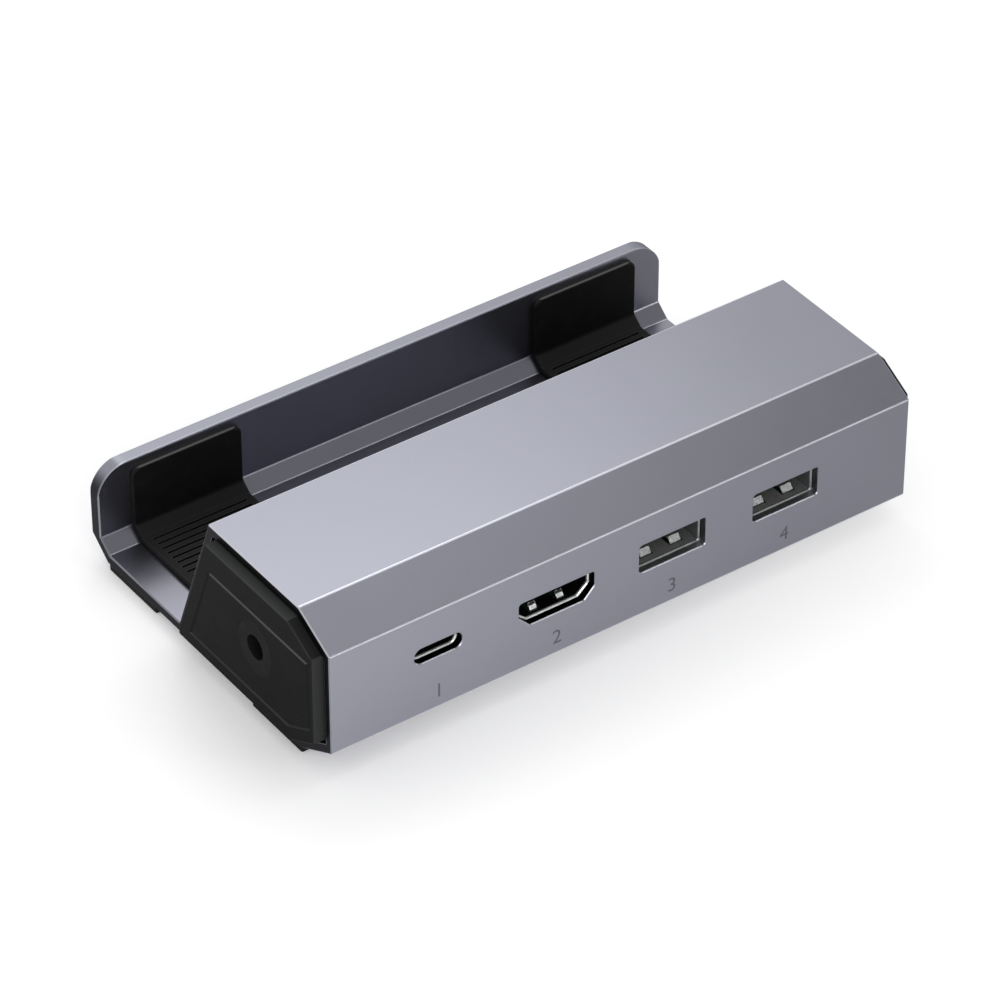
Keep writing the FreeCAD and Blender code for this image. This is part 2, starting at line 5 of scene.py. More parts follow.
import bpy
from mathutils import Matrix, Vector


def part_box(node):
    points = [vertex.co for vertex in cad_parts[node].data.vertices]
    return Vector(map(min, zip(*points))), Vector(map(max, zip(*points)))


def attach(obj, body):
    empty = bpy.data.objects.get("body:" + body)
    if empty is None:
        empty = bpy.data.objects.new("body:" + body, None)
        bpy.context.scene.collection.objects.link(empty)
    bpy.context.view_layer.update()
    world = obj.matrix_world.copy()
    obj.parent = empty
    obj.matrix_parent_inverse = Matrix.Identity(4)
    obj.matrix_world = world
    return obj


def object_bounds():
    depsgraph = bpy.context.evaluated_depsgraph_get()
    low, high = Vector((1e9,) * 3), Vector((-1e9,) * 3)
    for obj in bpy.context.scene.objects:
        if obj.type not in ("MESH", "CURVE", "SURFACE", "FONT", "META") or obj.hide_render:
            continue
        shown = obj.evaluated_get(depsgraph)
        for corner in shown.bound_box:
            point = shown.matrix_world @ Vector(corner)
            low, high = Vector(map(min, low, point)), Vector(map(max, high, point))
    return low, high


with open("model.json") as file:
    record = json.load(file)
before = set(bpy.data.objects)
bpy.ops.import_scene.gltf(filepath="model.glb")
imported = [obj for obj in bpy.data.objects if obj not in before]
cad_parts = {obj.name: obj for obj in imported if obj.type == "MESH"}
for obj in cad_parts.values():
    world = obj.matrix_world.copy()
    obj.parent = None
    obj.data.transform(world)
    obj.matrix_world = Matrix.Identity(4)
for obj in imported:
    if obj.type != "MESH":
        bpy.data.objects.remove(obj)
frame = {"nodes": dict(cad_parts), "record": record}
cad_low, cad_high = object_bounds()

MM = 0.001
PURE_WHITE = (1.0, 1.0, 1.0, 1.0)

# View of the object: direction and distance to the camera, and the point in the middle of the frame
CAMERA_AZIMUTH = -35.458
CAMERA_ELEVATION = 37.863
CAMERA_DISTANCE = 870.5 * MM
CAMERA_TARGET = Vector((-5.11, -7.30, 14.94)) * MM
CAMERA_LENS = 191.72
CAMERA_CLIP = 10 * MM
SENSOR = 36.0

# Light levels, where 1 is white: soft light all round, what the eye sees, and the sky that gloss sees
AMBIENT = 0.85
WHITE = 1.0
SIDE_SKY = 0.89
DIM_SKY = 0.28

# Dim part of that sky: its direction, and the leans towards it at which it starts and is full
DIM_DIRECTION = (0.0, -0.5, 0.9)
DIM_LEAN = (0.3, 0.65)

# Lamps, in metres: name, place, aim as a shift from the object's middle, width, height and level
LAMPS = (
    ("top_softbox", (0.08, 0.225, 0.355), (-0.03, 0.0, 0.0), 0.24, 0.22, 1.6),
    ("chamfer_softbox", (0.30, -0.11, 0.78), (0.0, 0.0, 0.0), 0.26, 0.2, 1.5),
    ("crease_strip", (0.17, 0.115, 0.37), (0.0, 0.0, 0.0), 0.3, 0.04, 0.6),
    ("key_softbox", (0.33, -0.54, 0.34), (0.0, 0.0, 0.0), 0.16, 0.12, 4.0),
    ("front_softbox", (-0.35, -0.75, 0.45), (0.0, 0.0, 0.0), 0.5, 0.5, 2.4),
)

# Floor: pale at the left, shaded towards the right, and lifted to white for the eye
FLOOR_SIZE = 6.0
FLOOR_PALE = (0.87, 0.87, 0.875, 1.0)
FLOOR_SHADED = (0.36, 0.36, 0.365, 1.0)
FLOOR_FADE = (-70 * MM, 110 * MM)
PALE_GLOW = 0.15
SHADED_GLOW = 0.66
GLOSS_GLOW = 0.22

# Floor beside the right end of the cradle, which the object shades: its middle, and where the shade thins
SHADE_PLACE = (63 * MM, 21 * MM, 0.0)
SHADE_REACH = (14 * MM, 34 * MM)

# Finishes, with the colours of painted light and shade, as sRGB values from 0 to 255
ALUMINIUM = (151, 152, 162)
# Painted highlight on the extrusion's rounded creases
CREASE_HIGHLIGHT = (226, 226, 236)
# Painted highlight, with some wear, on the metal's edges
METAL_EDGE_HIGHLIGHT = (180, 180, 190)
# Painted highlight on the slanted end rims that face up
RIM_HIGHLIGHT = (208, 208, 216)
# Painted highlight along the inner edge of the wall's lip
LIP_HIGHLIGHT = (178, 179, 190)
# Painted shade on the ends of the extrusion
SHADED_END = (46, 46, 50)
# Painted shade on the walls of the socket cut-outs, lighter on the data side, and a painted highlight on
# their sills
SHADED_CUT_WALL = (26, 26, 28)
SHADED_DATA_CUT_WALL = (118, 118, 124)
LIT_DATA_CUT_SILL = (205, 205, 212)
MARK_GREY = (92, 92, 100)
CAP_BLACK = (20, 20, 21)
# Painted light on the cap's walls, and a painted highlight on the gland's edges
LIT_MOULDING_GREY = (58, 59, 59)
# Painted highlight, with some wear, on the edges of the cap and feet
MOULDING_EDGE_HIGHLIGHT = (92, 93, 92)
# Painted highlight on the cap's moulded line
CAP_LINE_HIGHLIGHT = (84, 85, 84)
PAD_BLACK = (18, 18, 19)
# Dust with painted top light on the pads' upward faces, and a painted highlight on their edges
PAD_DUST_AND_TOP_LIGHT = (38, 38, 39)
PAD_EDGE_HIGHLIGHT = (82, 82, 81)
FOOT_GREY = (34, 34, 35)
GLAND_BLACK = (24, 24, 25)
INSULATOR_BLACK = (17, 17, 18)
STEEL = (194, 197, 197)
# Painted shade on the side walls inside the data sockets
SIDE_SHADE_STEEL = (146, 148, 148)
DATA_LIP_STEEL = (152, 154, 154)
# Painted highlight on the mouths of the power and video sockets
MOUTH_HIGHLIGHT_STEEL = (232, 234, 234)
NOSE_STEEL = (142, 144, 144)
# Painted shade inside the power and video sockets
INSIDE_SHADE_STEEL = (34, 33, 32)
GOLD = (226, 190, 110)
BOARD_GREEN = (22, 58, 38)
PACKAGE_BLACK = (32, 32, 33)
FERRITE = (92, 92, 94)
CAN_SILVER = (205, 205, 206)
CHIP_TAN = (170, 138, 104)
HEADER_CREAM = (226, 220, 202)

# Tint of the aluminium at grazing angles, and share of the fine grain in its roughness
METAL_TINT = (0.55, 0.55, 0.55, 1.0)
GRAIN_SHARE = 0.8

# Stretched grain of sheet, plate and drawn cans: features for each metre along X, Y and Z
ROLLED_GRAIN = (5000.0, 260.0, 5000.0)
PLATED_GRAIN = (9000.0, 500.0, 9000.0)
CAN_RINGS = (300.0, 300.0, 6000.0)

# Width of the cells in the board's copper pattern
TRACK_CELL = 2.4 * MM

# Upward leans at which painted highlights, some wear and dust with painted top light start and are full:
# faces that look up, all but undersides, and dust
FACING_UP = (0.25, 0.5)
NOT_UNDER = (-0.4, -0.15)
DUST_SETTLES = (0.5, 1.0)

# How squarely a surface faces along an axis: edges at 45 degrees, walls along Y, and the ends that take
# painted shade
SLANTED = (0.4, 0.85)
TURNED_FROM_Y = 0.5
SHADED_END_FACING = (0.55, 0.97)

# Edges with painted highlights and some wear: samples for each, and the turn from the surface at which an
# edge is full
EDGE_SAMPLES = 6
EDGE_TURN = 0.12

# Cap walls, lighter by painted light: their facing along X, the leans at which that painted light starts
# and is full, and its least share
CAP_WALL_FACING = (0.75, 0.95)
CAP_LIT_TOP = (0.3, 0.6)
CAP_LIT_LEVEL = (0.25, 0.45)
CAP_LIT_FRONT = (-0.95, -0.8)
CAP_LEAST_LIT = 0.3

# Heights between which the moulded line in the cap's face gets a painted highlight
CAP_LINE_BAND = (21.5 * MM, 24 * MM)

# How the extrusion's creases are told from its flat faces: by facing, and by the flat faces' area
ALONG_X = 0.01
LEAST_FLAT = 100 * MM ** 2
FLAT_AGREEMENT = 0.9995

# Cradle wall: rise of its lip above the pads, and radius of its corners
LIP_ABOVE_PADS = 1.15 * MM
WALL_CORNER = 5.8 * MM

# Painted highlight along the inner edge of that lip: width, and the turn to the side over which it fades to
# its least share
LIP_LINE_WIDTH = 0.4 * MM
LIP_LINE_TURN = (0.2, 0.95)
LIP_LINE_LEAST = 0.3

# Depth of the painted highlight along the pads' upper edge
PAD_UPPER_EDGE = 0.5 * MM

# Walls of the socket cut-outs: room at their sides, and depth of the outer skin that keeps its finish
CUT_MARGIN = 1.5 * MM
CUT_SKIP = 0.16 * MM

# Socket shells: depth of the lip band, a painted highlight in the dark sockets, facing of the spring noses
# and side walls that take painted light and shade, and top of the video noses' painted highlight
LIP_DEPTH = 0.5 * MM
NOSE_FACING = -0.3
SIDE_FACING = 0.7
VIDEO_NOSE_TOP = 14.65 * MM

# Numerals printed under the sockets: height, its share of the font's size, level, and thickness of the ink
MARK_HEIGHT = 2.7 * MM
MARK_SHARE = 0.69
MARK_LEVEL = 7.7 * MM
INK = 0.02 * MM

# Places of a mix node's sockets, for colours and for vectors: share, first, second and result
MIX_SOCKETS = {"RGBA": (0, 6, 7, 2), "VECTOR": (0, 4, 5, 1)}


def linear(colour, gain=1.0):
    """Linear RGBA of an sRGB colour, times a gain."""
    def decode(value):
        value = value / 255
        return value / 12.92 if value <= 0.04045 else ((value + 0.055) / 1.055) ** 2.4
    return tuple(min(1.0, decode(value) * gain) for value in colour) + (1.0,)


def added(name, data):
    """New object in the scene."""
    holder = bpy.data.objects.new(name, data)
    bpy.context.scene.collection.objects.link(holder)
    return holder


class Nodes:
    """Short calls for the nodes of one tree."""

    def __init__(self, tree):
        self.tree = tree

    def new(self, kind):
        return self.tree.nodes.new("ShaderNode" + kind)

    def feed(self, socket, value):
        """Give a socket a fixed value, or link another node's output to it."""
        if isinstance(value, bpy.types.NodeSocket):
            self.tree.links.new(value, socket)
        else:
            socket.default_value = value

    def feed_all(self, sockets, values):
        """Feed one value to each socket, in order."""
        for socket, value in zip(sockets, values):
            self.feed(socket, value)

    def math(self, operation, first, second=0.0):
        node = self.new("Math")
        node.operation = operation
        self.feed_all(node.inputs, (first, second))
        return node.outputs[0]

    def vectors(self, operation, *values):
        """Outputs of an operation on vectors."""
        node = self.new("VectorMath")
        node.operation = operation
        self.feed_all(node.inputs, values)
        return node.outputs

    def spread(self, value, low, high, start=0.3, end=0.7, ease="SMOOTHSTEP"):
        """A value between start and end, spread between low and high."""
        node = self.new("MapRange")
        node.interpolation_type = ease
        names = ("Value", "From Min", "From Max", "To Min", "To Max")
        self.feed_all([node.inputs[name] for name in names], (value, start, end, low, high))
        return node.outputs["Result"]

    def shiny_rays(self, rays):
        """1 for rays that a shiny or clear surface sends out, else 0."""
        return self.math("MAXIMUM", rays["Is Glossy Ray"], rays["Is Transmission Ray"])


class Look(Nodes):
    """Short calls for the nodes of one material."""

    def __init__(self, name):
        self.material = bpy.data.materials.new(name)
        self.material.use_nodes = True
        super().__init__(self.material.node_tree)
        self.shader = self.tree.nodes["Principled BSDF"]
        self.place = self.new("TexCoord").outputs["Object"]
        self.x, self.y, self.z = self.parts(self.place)

    def finished(self, **values):
        """The material, with values for the shader's sockets, whose names have underscores for spaces."""
        for name, value in values.items():
            self.feed(self.shader.inputs[name.replace("_", " ")], value)
        return self.material

    def parts(self, vector):
        """The X, Y and Z of a vector."""
        split = self.new("SeparateXYZ")
        self.feed(split.inputs[0], vector)
        return split.outputs

    def direction(self, x, y, z):
        """Unit vector along three values."""
        joined = self.new("CombineXYZ")
        self.feed_all(joined.inputs, (x, y, z))
        return self.vectors("NORMALIZE", joined.outputs[0])["Vector"]

    def geometry(self, name):
        """One of the surface's own values, such as its True Normal."""
        return self.new("NewGeometry").outputs[name]

    def lean(self, axis):
        """How far the surface leans along one axis of the object, from -1 to 1."""
        return self.parts(self.geometry("True Normal"))[axis]

    def facing(self, axis):
        """How squarely the surface faces along one axis, either way, from 0 to 1."""
        return self.math("ABSOLUTE", self.lean(axis))

    def above(self, value, limit):
        """1 where a value is over a limit, else 0."""
        return self.math("GREATER_THAN", value, limit)

    def below(self, value, limit):
        """1 where a value is under a limit, else 0."""
        return self.math("LESS_THAN", value, limit)

    def between(self, value, low, high):
        """1 where a value lies between two limits, else 0."""
        return self.all_of([self.above(value, low), self.below(value, high)])

    def all_of(self, shares):
        """Product of several shares."""
        total = shares[0]
        for share in shares[1:]:
            total = self.math("MULTIPLY", total, share)
        return total

    def mix_of(self, kind, share, first, second):
        """Mix of two colours or two vectors by a share."""
        node = self.new("Mix")
        node.data_type = kind
        *places, result = MIX_SOCKETS[kind]
        self.feed_all([node.inputs[place] for place in places], (share, first, second))
        return node.outputs[result]

    def mixed(self, share, first, second):
        """The first colour where a share is 0, and the second where it is 1."""
        return self.mix_of("RGBA", share, first, second)

    def chosen(self, share, first, second):
        """The first vector where a share is 0, and the second where it is 1."""
        return self.mix_of("VECTOR", share, first, second)

    def stretched(self, scale):
        """Object coordinates, scaled by a different factor on each axis."""
        mapping = self.new("Mapping")
        self.feed(mapping.inputs["Vector"], self.place)
        self.feed(mapping.inputs["Scale"], scale)
        return mapping.outputs["Vector"]

    def noise(self, size=1.0, detail=2.0, roughness=0.5, place=None):
        """Noise whose features measure about one size, in metres unless the place is stretched."""
        texture = self.new("TexNoise")
        self.feed(texture.inputs["Vector"], self.place if place is None else place)
        self.feed(texture.inputs["Scale"], 1 / size)
        self.feed(texture.inputs["Detail"], detail)
        self.feed(texture.inputs["Roughness"], roughness)
        return texture.outputs["Fac"]

    def mottled(self, pattern, colour, dark, light, start=0.3, end=0.7):
        """One colour, with a gain that goes from dark to light along a pattern."""
        share = self.spread(pattern, 0.0, 1.0, start, end)
        return self.mixed(share, linear(colour, dark), linear(colour, light))

    def bump(self, height, depth, strength, normal=None):
        """Bump of a height between 0 and 1, with its full depth in metres."""
        bump = self.new("Bump")
        self.feed(bump.inputs["Height"], height)
        self.feed(bump.inputs["Distance"], depth)
        self.feed(bump.inputs["Strength"], strength)
        if normal is not None:
            self.feed(bump.inputs["Normal"], normal)
        return bump.outputs["Normal"]

    def turned_from(self, directions, agreement):
        """1 where the surface faces along none of the directions, else 0."""
        normal = self.geometry("True Normal")
        agreements = [self.vectors("DOT_PRODUCT", normal, direction)["Value"] for direction in directions]
        return self.all_of([self.below(value, agreement) for value in agreements])

    def edges(self, radius, gain, lean):
        """Share that is high along outer edges, within a radius of them, where they lean up enough."""
        bevel = self.new("Bevel")
        bevel.samples = EDGE_SAMPLES
        self.feed(bevel.inputs["Radius"], radius)
        rounded = bevel.outputs["Normal"]
        agreement = self.vectors("DOT_PRODUCT", rounded, self.geometry("Normal"))["Value"]
        turned = self.spread(self.math("SUBTRACT", 1.0, agreement), 0.0, 1.0, 0.0, EDGE_TURN)
        return self.math("MULTIPLY", turned, self.spread(self.parts(rounded)["Z"], 0.0, gain, *lean))


def flat_directions(solid):
    """Normals of the large flat faces of a solid that run along X."""
    areas = {}
    for face in solid.data.polygons:
        if abs(face.normal.x) < ALONG_X:
            direction = tuple(round(value, 2) for value in face.normal)
            areas[direction] = areas.get(direction, 0.0) + face.area
    return [Vector(direction).normalized() for direction, area in areas.items() if area > LEAST_FLAT]


def extrusion_creases(look):
    """1 on the rounded creases along the extrusion, apart from the wall's lip."""
    pad_low, pad_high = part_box("left_cradle_pad")
    lip = look.all_of([look.above(look.z, pad_high.z), look.above(look.y, pad_low.y)])
    return look.all_of([
        look.turned_from(flat_directions(frame["nodes"]["body_extrusion"]), FLAT_AGREEMENT),
        look.below(look.facing("X"), ALONG_X),
        look.math("SUBTRACT", 1.0, lip)])


def hub_rims(look):
    """Share that is high on the slanted rims at the ends of the hub, where they look up, for a painted
    highlight.
    """
    return look.all_of([
        look.between(look.facing("X"), *SLANTED),
        look.spread(look.lean("Z"), 0.0, 1.0, *FACING_UP),
        look.below(look.y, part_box("left_cradle_pad")[0].y)])


def wall_lip(look):
    """1 on the lip of the cradle's wall, and a normal that rounds off the facets of the wall's corners."""
    pad_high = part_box("left_cradle_pad")[1]
    corner_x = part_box("body_extrusion")[1].x - WALL_CORNER
    corner_z = pad_high.z + LIP_ABOVE_PADS - WALL_CORNER
    past_x = look.math("SUBTRACT", look.math("ABSOLUTE", look.x), corner_x)
    past_z = look.math("SUBTRACT", look.z, corner_z)
    lip = look.all_of([
        look.above(past_z, 0.0),
        look.above(look.y, pad_high.y),
        look.below(look.facing("Y"), TURNED_FROM_Y)])
    corner = look.all_of([lip, look.above(past_x, 0.0)])
    outward = look.direction(look.math("MULTIPLY", past_x, look.math("SIGN", look.x)), 0.0, past_z)
    return lip, look.chosen(corner, look.geometry("Normal"), outward)


def cut_out_walls(look):
    """1 on the walls of the socket cut-outs, and the colour of those walls: painted shade, lighter on the
    data side, with a painted highlight on the sills that face up.
    """
    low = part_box("power_socket_shell")[0]
    far_low, far_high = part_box("right_data_socket_shell")
    walls = look.all_of([
        look.between(look.x, low.x - CUT_MARGIN, far_high.x + CUT_MARGIN),
        look.between(look.y, cad_low.y + CUT_SKIP, low.y + CUT_SKIP),
        look.between(look.z, far_low.z - CUT_MARGIN, far_high.z + CUT_MARGIN),
        look.below(look.facing("Y"), TURNED_FROM_Y)])
    data_side = look.above(look.x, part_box("video_socket_shell")[1].x + CUT_MARGIN)
    # Painted highlight on the data cut-out sills that face up
    lit_sill = look.spread(look.lean("Z"), 0.0, 1.0, *FACING_UP)
    data_wall = look.mixed(lit_sill, linear(SHADED_DATA_CUT_WALL), linear(LIT_DATA_CUT_SILL))
    return walls, look.mixed(data_side, linear(SHADED_CUT_WALL), data_wall)


def anodised_aluminium():
    """Bead-blasted, anodised extrusion: fine grain; painted highlights on its creases, end rims and wall
    lip, and on its edges with some wear; painted shade on its ends and cut-out walls.
    """
    look = Look("anodised_aluminium")
    grain = look.noise(size=0.22 * MM, detail=2.0)
    clouds = look.noise(size=16 * MM, detail=3.0)
    colour = look.mottled(clouds, ALUMINIUM, dark=0.985, light=1.015)
    colour = look.mixed(look.spread(grain, low=0.0, high=0.3), colour, linear(ALUMINIUM, gain=1.1))
    lip, smooth = wall_lip(look)
    sideways = look.math("ABSOLUTE", look.parts(smooth)["X"])
    # Painted shade: faces that look along X, the ends, take a dark colour
    colour = look.mixed(look.spread(sideways, 0.0, 1.0, *SHADED_END_FACING), colour, linear(SHADED_END))
    # Painted highlight along the inner edge of the wall's lip
    lip_highlight = look.all_of([
        lip,
        look.below(look.y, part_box("left_cradle_pad")[1].y + LIP_LINE_WIDTH),
        look.spread(sideways, 1.0, LIP_LINE_LEAST, *LIP_LINE_TURN)])
    colour = look.mixed(lip_highlight, colour, linear(LIP_HIGHLIGHT))
    # Painted highlight, with some wear, on the edges that do not face down
    edge_wear_and_highlight = look.edges(radius=0.2 * MM, gain=0.8, lean=NOT_UNDER)
    colour = look.mixed(edge_wear_and_highlight, colour, linear(METAL_EDGE_HIGHLIGHT))
    # Painted highlight: the rounded creases take a much brighter colour
    colour = look.mixed(extrusion_creases(look), colour, linear(CREASE_HIGHLIGHT))
    # Painted highlight on the slanted end rims that face up
    colour = look.mixed(hub_rims(look), colour, linear(RIM_HIGHLIGHT))
    # Painted shade on the walls of the socket cut-outs, with a painted highlight on the data sills
    walls, wall_light_and_shade = cut_out_walls(look)
    fine = look.math("MULTIPLY", grain, GRAIN_SHARE)
    coarse = look.math("MULTIPLY", clouds, 1 - GRAIN_SHARE)
    return look.finished(
        Base_Color=look.mixed(walls, colour, wall_light_and_shade),
        Roughness=look.spread(look.math("ADD", fine, coarse), low=0.30, high=0.38),
        Metallic=1.0,
        Specular_Tint=METAL_TINT,
        Normal=look.bump(grain, depth=0.004 * MM, strength=0.6, normal=smooth))


def cap_moulding():
    """Satin black cap: a dark face, painted light on its walls, a painted highlight on its moulded line,
    and painted highlights with some wear on its edges that face up.
    """
    look = Look("cap_moulding")
    texture = look.noise(size=0.16 * MM, detail=3.0, roughness=0.6)
    clouds = look.noise(size=7 * MM, detail=4.0)
    colour = look.mottled(clouds, CAP_BLACK, dark=0.85, light=1.12)
    top = look.all_of([
        look.spread(look.lean("Z"), 0.0, 1.0, *CAP_LIT_TOP),
        look.spread(look.facing("Y"), 1.0, 0.0, *CAP_LIT_LEVEL)])
    front = look.spread(look.lean("Y"), 1.0, 0.0, *CAP_LIT_FRONT)
    lit = look.math("MAXIMUM", look.math("MAXIMUM", top, front), CAP_LEAST_LIT)
    walls = look.spread(look.facing("X"), 1.0, 0.0, *CAP_WALL_FACING)
    # Painted light: the cap's walls that face up or to the front take a lighter grey
    colour = look.mixed(look.all_of([walls, lit]), colour, linear(LIT_MOULDING_GREY))
    # Painted highlights, with some wear, on the cap's edges that face up
    edge_wear_and_highlight = look.edges(radius=0.25 * MM, gain=0.3, lean=FACING_UP)
    colour = look.mixed(edge_wear_and_highlight, colour, linear(MOULDING_EDGE_HIGHLIGHT))
    # Painted highlight on the up-facing wall of the moulded line
    line_highlight = look.all_of([
        look.between(look.facing("X"), *SLANTED),
        look.between(look.z, *CAP_LINE_BAND),
        top])
    return look.finished(
        Base_Color=look.mixed(line_highlight, colour, linear(CAP_LINE_HIGHLIGHT)),
        Roughness=look.spread(texture, low=0.36, high=0.5),
        Specular_IOR_Level=0.018,
        Normal=look.bump(texture, depth=0.012 * MM, strength=0.5))


def satin_moulding(name, colour, roughness, gloss):
    """Satin black moulding with a fine spark-eroded texture, and edges lightened for wear and painted
    highlight.
    """
    look = Look(name)
    texture = look.noise(size=0.16 * MM, detail=3.0, roughness=0.6)
    clouds = look.noise(size=7 * MM, detail=4.0)
    plain = look.mottled(clouds, colour, dark=0.85, light=1.12)
    # Edges that do not face down, lightened for wear and painted highlight
    edge_wear_and_highlight = look.edges(radius=0.25 * MM, gain=0.45, lean=NOT_UNDER)
    return look.finished(
        Base_Color=look.mixed(edge_wear_and_highlight, plain, linear(colour, gain=2.6)),
        Roughness=look.spread(texture, low=roughness - 0.06, high=roughness + 0.08),
        Specular_IOR_Level=gloss,
        Normal=look.bump(texture, depth=0.012 * MM, strength=0.5))


def soft_rubber(name, colour, dust_and_top_light, painted_light, roughness, gloss, highlight_from=cad_high.z):
    """Matt silicone or rubber: a soft sheen, fine pores, dust with painted top light where it faces up, and
    painted highlights with some wear on its edges.
    """
    look = Look(name)
    pores = look.noise(size=0.12 * MM, detail=3.0, roughness=0.65)
    dust = look.noise(size=2.6 * MM, detail=5.0, roughness=0.7)
    lean = look.lean("Z")
    plain = look.mottled(dust, colour, dark=1.0, light=1.7, start=0.45, end=0.85)
    # Dust with painted top light: faces that look up take a lighter colour
    plain = look.mixed(look.spread(lean, 0.0, 1.0, *DUST_SETTLES), plain, linear(dust_and_top_light))
    # Painted highlights, with some wear, on the edges that face up
    edge_wear_and_highlight = look.edges(radius=0.2 * MM, gain=0.6, lean=FACING_UP)
    # Painted highlight along the upper slanted edge
    upper_edge_highlight = look.all_of([look.above(look.z, highlight_from), look.between(lean, *SLANTED)])
    return look.finished(
        Base_Color=look.mixed(upper_edge_highlight, look.mixed(edge_wear_and_highlight, plain, linear(painted_light)), linear(painted_light)),
        Roughness=look.spread(dust, low=roughness - 0.05, high=roughness + 0.1),
        Specular_IOR_Level=gloss,
        Normal=look.bump(pores, depth=0.008 * MM, strength=0.5))


def tinned_steel(name, lip, inside, sides, nose, nose_top):
    """Folded tinned sheet with rolling lines along its depth; its mouth band, spring noses and side walls
    take their own colours for painted light and shade, and its edges painted highlights with some wear.
    """
    look = Look(name)
    rolled = look.noise(detail=4.0, place=look.stretched(ROLLED_GRAIN))
    smears = look.noise(size=1.4 * MM, detail=3.0)
    bright = look.mottled(smears, lip, dark=0.9, light=1.08)
    behind = look.above(look.y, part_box("power_socket_shell")[0].y + LIP_DEPTH)
    # Spring noses that face the front take their own colour for painted light
    painted_light = look.all_of([look.below(look.lean("Y"), NOSE_FACING), look.below(look.z, nose_top)])
    # Painted shade on the side walls inside
    walls = look.mixed(look.above(look.facing("X"), SIDE_FACING), linear(inside), linear(sides))
    plain = look.mixed(behind, bright, look.mixed(painted_light, walls, linear(nose)))
    # Painted highlights, with some wear, on the edges that do not face down
    edge_wear_and_highlight = look.edges(radius=0.1 * MM, gain=0.5, lean=NOT_UNDER)
    return look.finished(
        Base_Color=look.mixed(edge_wear_and_highlight, plain, linear(lip, gain=1.5)),
        Roughness=look.spread(rolled, low=0.26, high=0.42),
        Metallic=0.8,
        Normal=look.bump(rolled, depth=0.003 * MM, strength=0.4))


def plated_contact():
    """Gold plate with a faint grain along the strip."""
    look = Look("plated_contact")
    grain = look.noise(detail=3.0, place=look.stretched(PLATED_GRAIN))
    return look.finished(
        Base_Color=look.mottled(grain, GOLD, dark=0.85, light=1.1),
        Roughness=look.spread(grain, low=0.22, high=0.36),
        Metallic=1.0,
        Normal=look.bump(grain, depth=0.002 * MM, strength=0.4))


def circuit_board():
    """Green solder mask over woven glass, with the copper pattern showing faintly."""
    look = Look("circuit_board")
    cells = look.new("TexVoronoi")
    cells.distance = "MANHATTAN"
    look.feed(cells.inputs["Vector"], look.place)
    look.feed(cells.inputs["Scale"], 1 / TRACK_CELL)
    tracks = look.spread(cells.outputs["Distance"], 0.0, 1.0, start=0.3, end=0.5)
    weave = look.noise(size=0.5 * MM, detail=1.0)
    return look.finished(
        Base_Color=look.mixed(tracks, linear(BOARD_GREEN, gain=1.5), linear(BOARD_GREEN)),
        Roughness=look.spread(weave, low=0.28, high=0.4),
        Normal=look.bump(tracks, depth=0.03 * MM, strength=0.4))


def drawn_can():
    """Drawn aluminium can with fine rings."""
    look = Look("drawn_can")
    rings = look.noise(detail=3.0, place=look.stretched(CAN_RINGS))
    return look.finished(
        Base_Color=look.mottled(rings, CAN_SILVER, dark=0.9, light=1.05),
        Roughness=look.spread(rings, low=0.25, high=0.38),
        Metallic=1.0,
        Normal=look.bump(rings, depth=0.003 * MM, strength=0.4))


def fired_body(name, colour, roughness):
    """Grainy body of a component: ferrite, a fired chip or a plain moulding."""
    look = Look(name)
    grain = look.noise(size=0.25 * MM, detail=4.0, roughness=0.6)
    return look.finished(
        Base_Color=look.mottled(grain, colour, dark=0.85, light=1.1),
        Roughness=look.spread(grain, low=roughness - 0.08, high=roughness + 0.08),
        Normal=look.bump(grain, depth=0.01 * MM, strength=0.5))


def printed_mark():
    """Screen-printed ink, slightly uneven."""
    look = Look("printed_mark")
    film = look.noise(size=0.3 * MM, detail=3.0)
    return look.finished(
        Base_Color=look.mottled(film, MARK_GREY, dark=0.9, light=1.12),
        Roughness=look.spread(film, low=0.5, high=0.65),
        Specular_IOR_Level=0.2)


def finishes():
    """The finish of each material slot in the record."""
    pad_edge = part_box("left_cradle_pad")[1].z - PAD_UPPER_EDGE
    return {
        "body": anodised_aluminium(),
        "cap": cap_moulding(),
        # The gland's edges take a painted highlight
        "gland": soft_rubber("gland_rubber", GLAND_BLACK, GLAND_BLACK, LIT_MOULDING_GREY, roughness=0.6, gloss=0.05),
        "pad": soft_rubber("pad_silicone", PAD_BLACK, PAD_DUST_AND_TOP_LIGHT, PAD_EDGE_HIGHLIGHT, roughness=0.52, gloss=0.1,
                           highlight_from=pad_edge),
        # The feet's edges take a painted highlight with some wear
        "foot": soft_rubber("foot_rubber", FOOT_GREY, FOOT_GREY, MOULDING_EDGE_HIGHLIGHT, roughness=0.68, gloss=0.05),
        "board": circuit_board(),
        "package": satin_moulding("package_moulding", PACKAGE_BLACK, roughness=0.5, gloss=0.4),
        "coil": fired_body("ferrite", FERRITE, roughness=0.55),
        "can": drawn_can(),
        "chip_capacitor": fired_body("fired_chip", CHIP_TAN, roughness=0.45),
        "header": fired_body("natural_moulding", HEADER_CREAM, roughness=0.45),
        "shell": tinned_steel("tinned_steel", DATA_LIP_STEEL, STEEL, SIDE_SHADE_STEEL, NOSE_STEEL, cad_high.z),
        "insulator": satin_moulding("insulator_moulding", INSULATOR_BLACK, roughness=0.5, gloss=0.2),
        "contact": plated_contact(),
    }


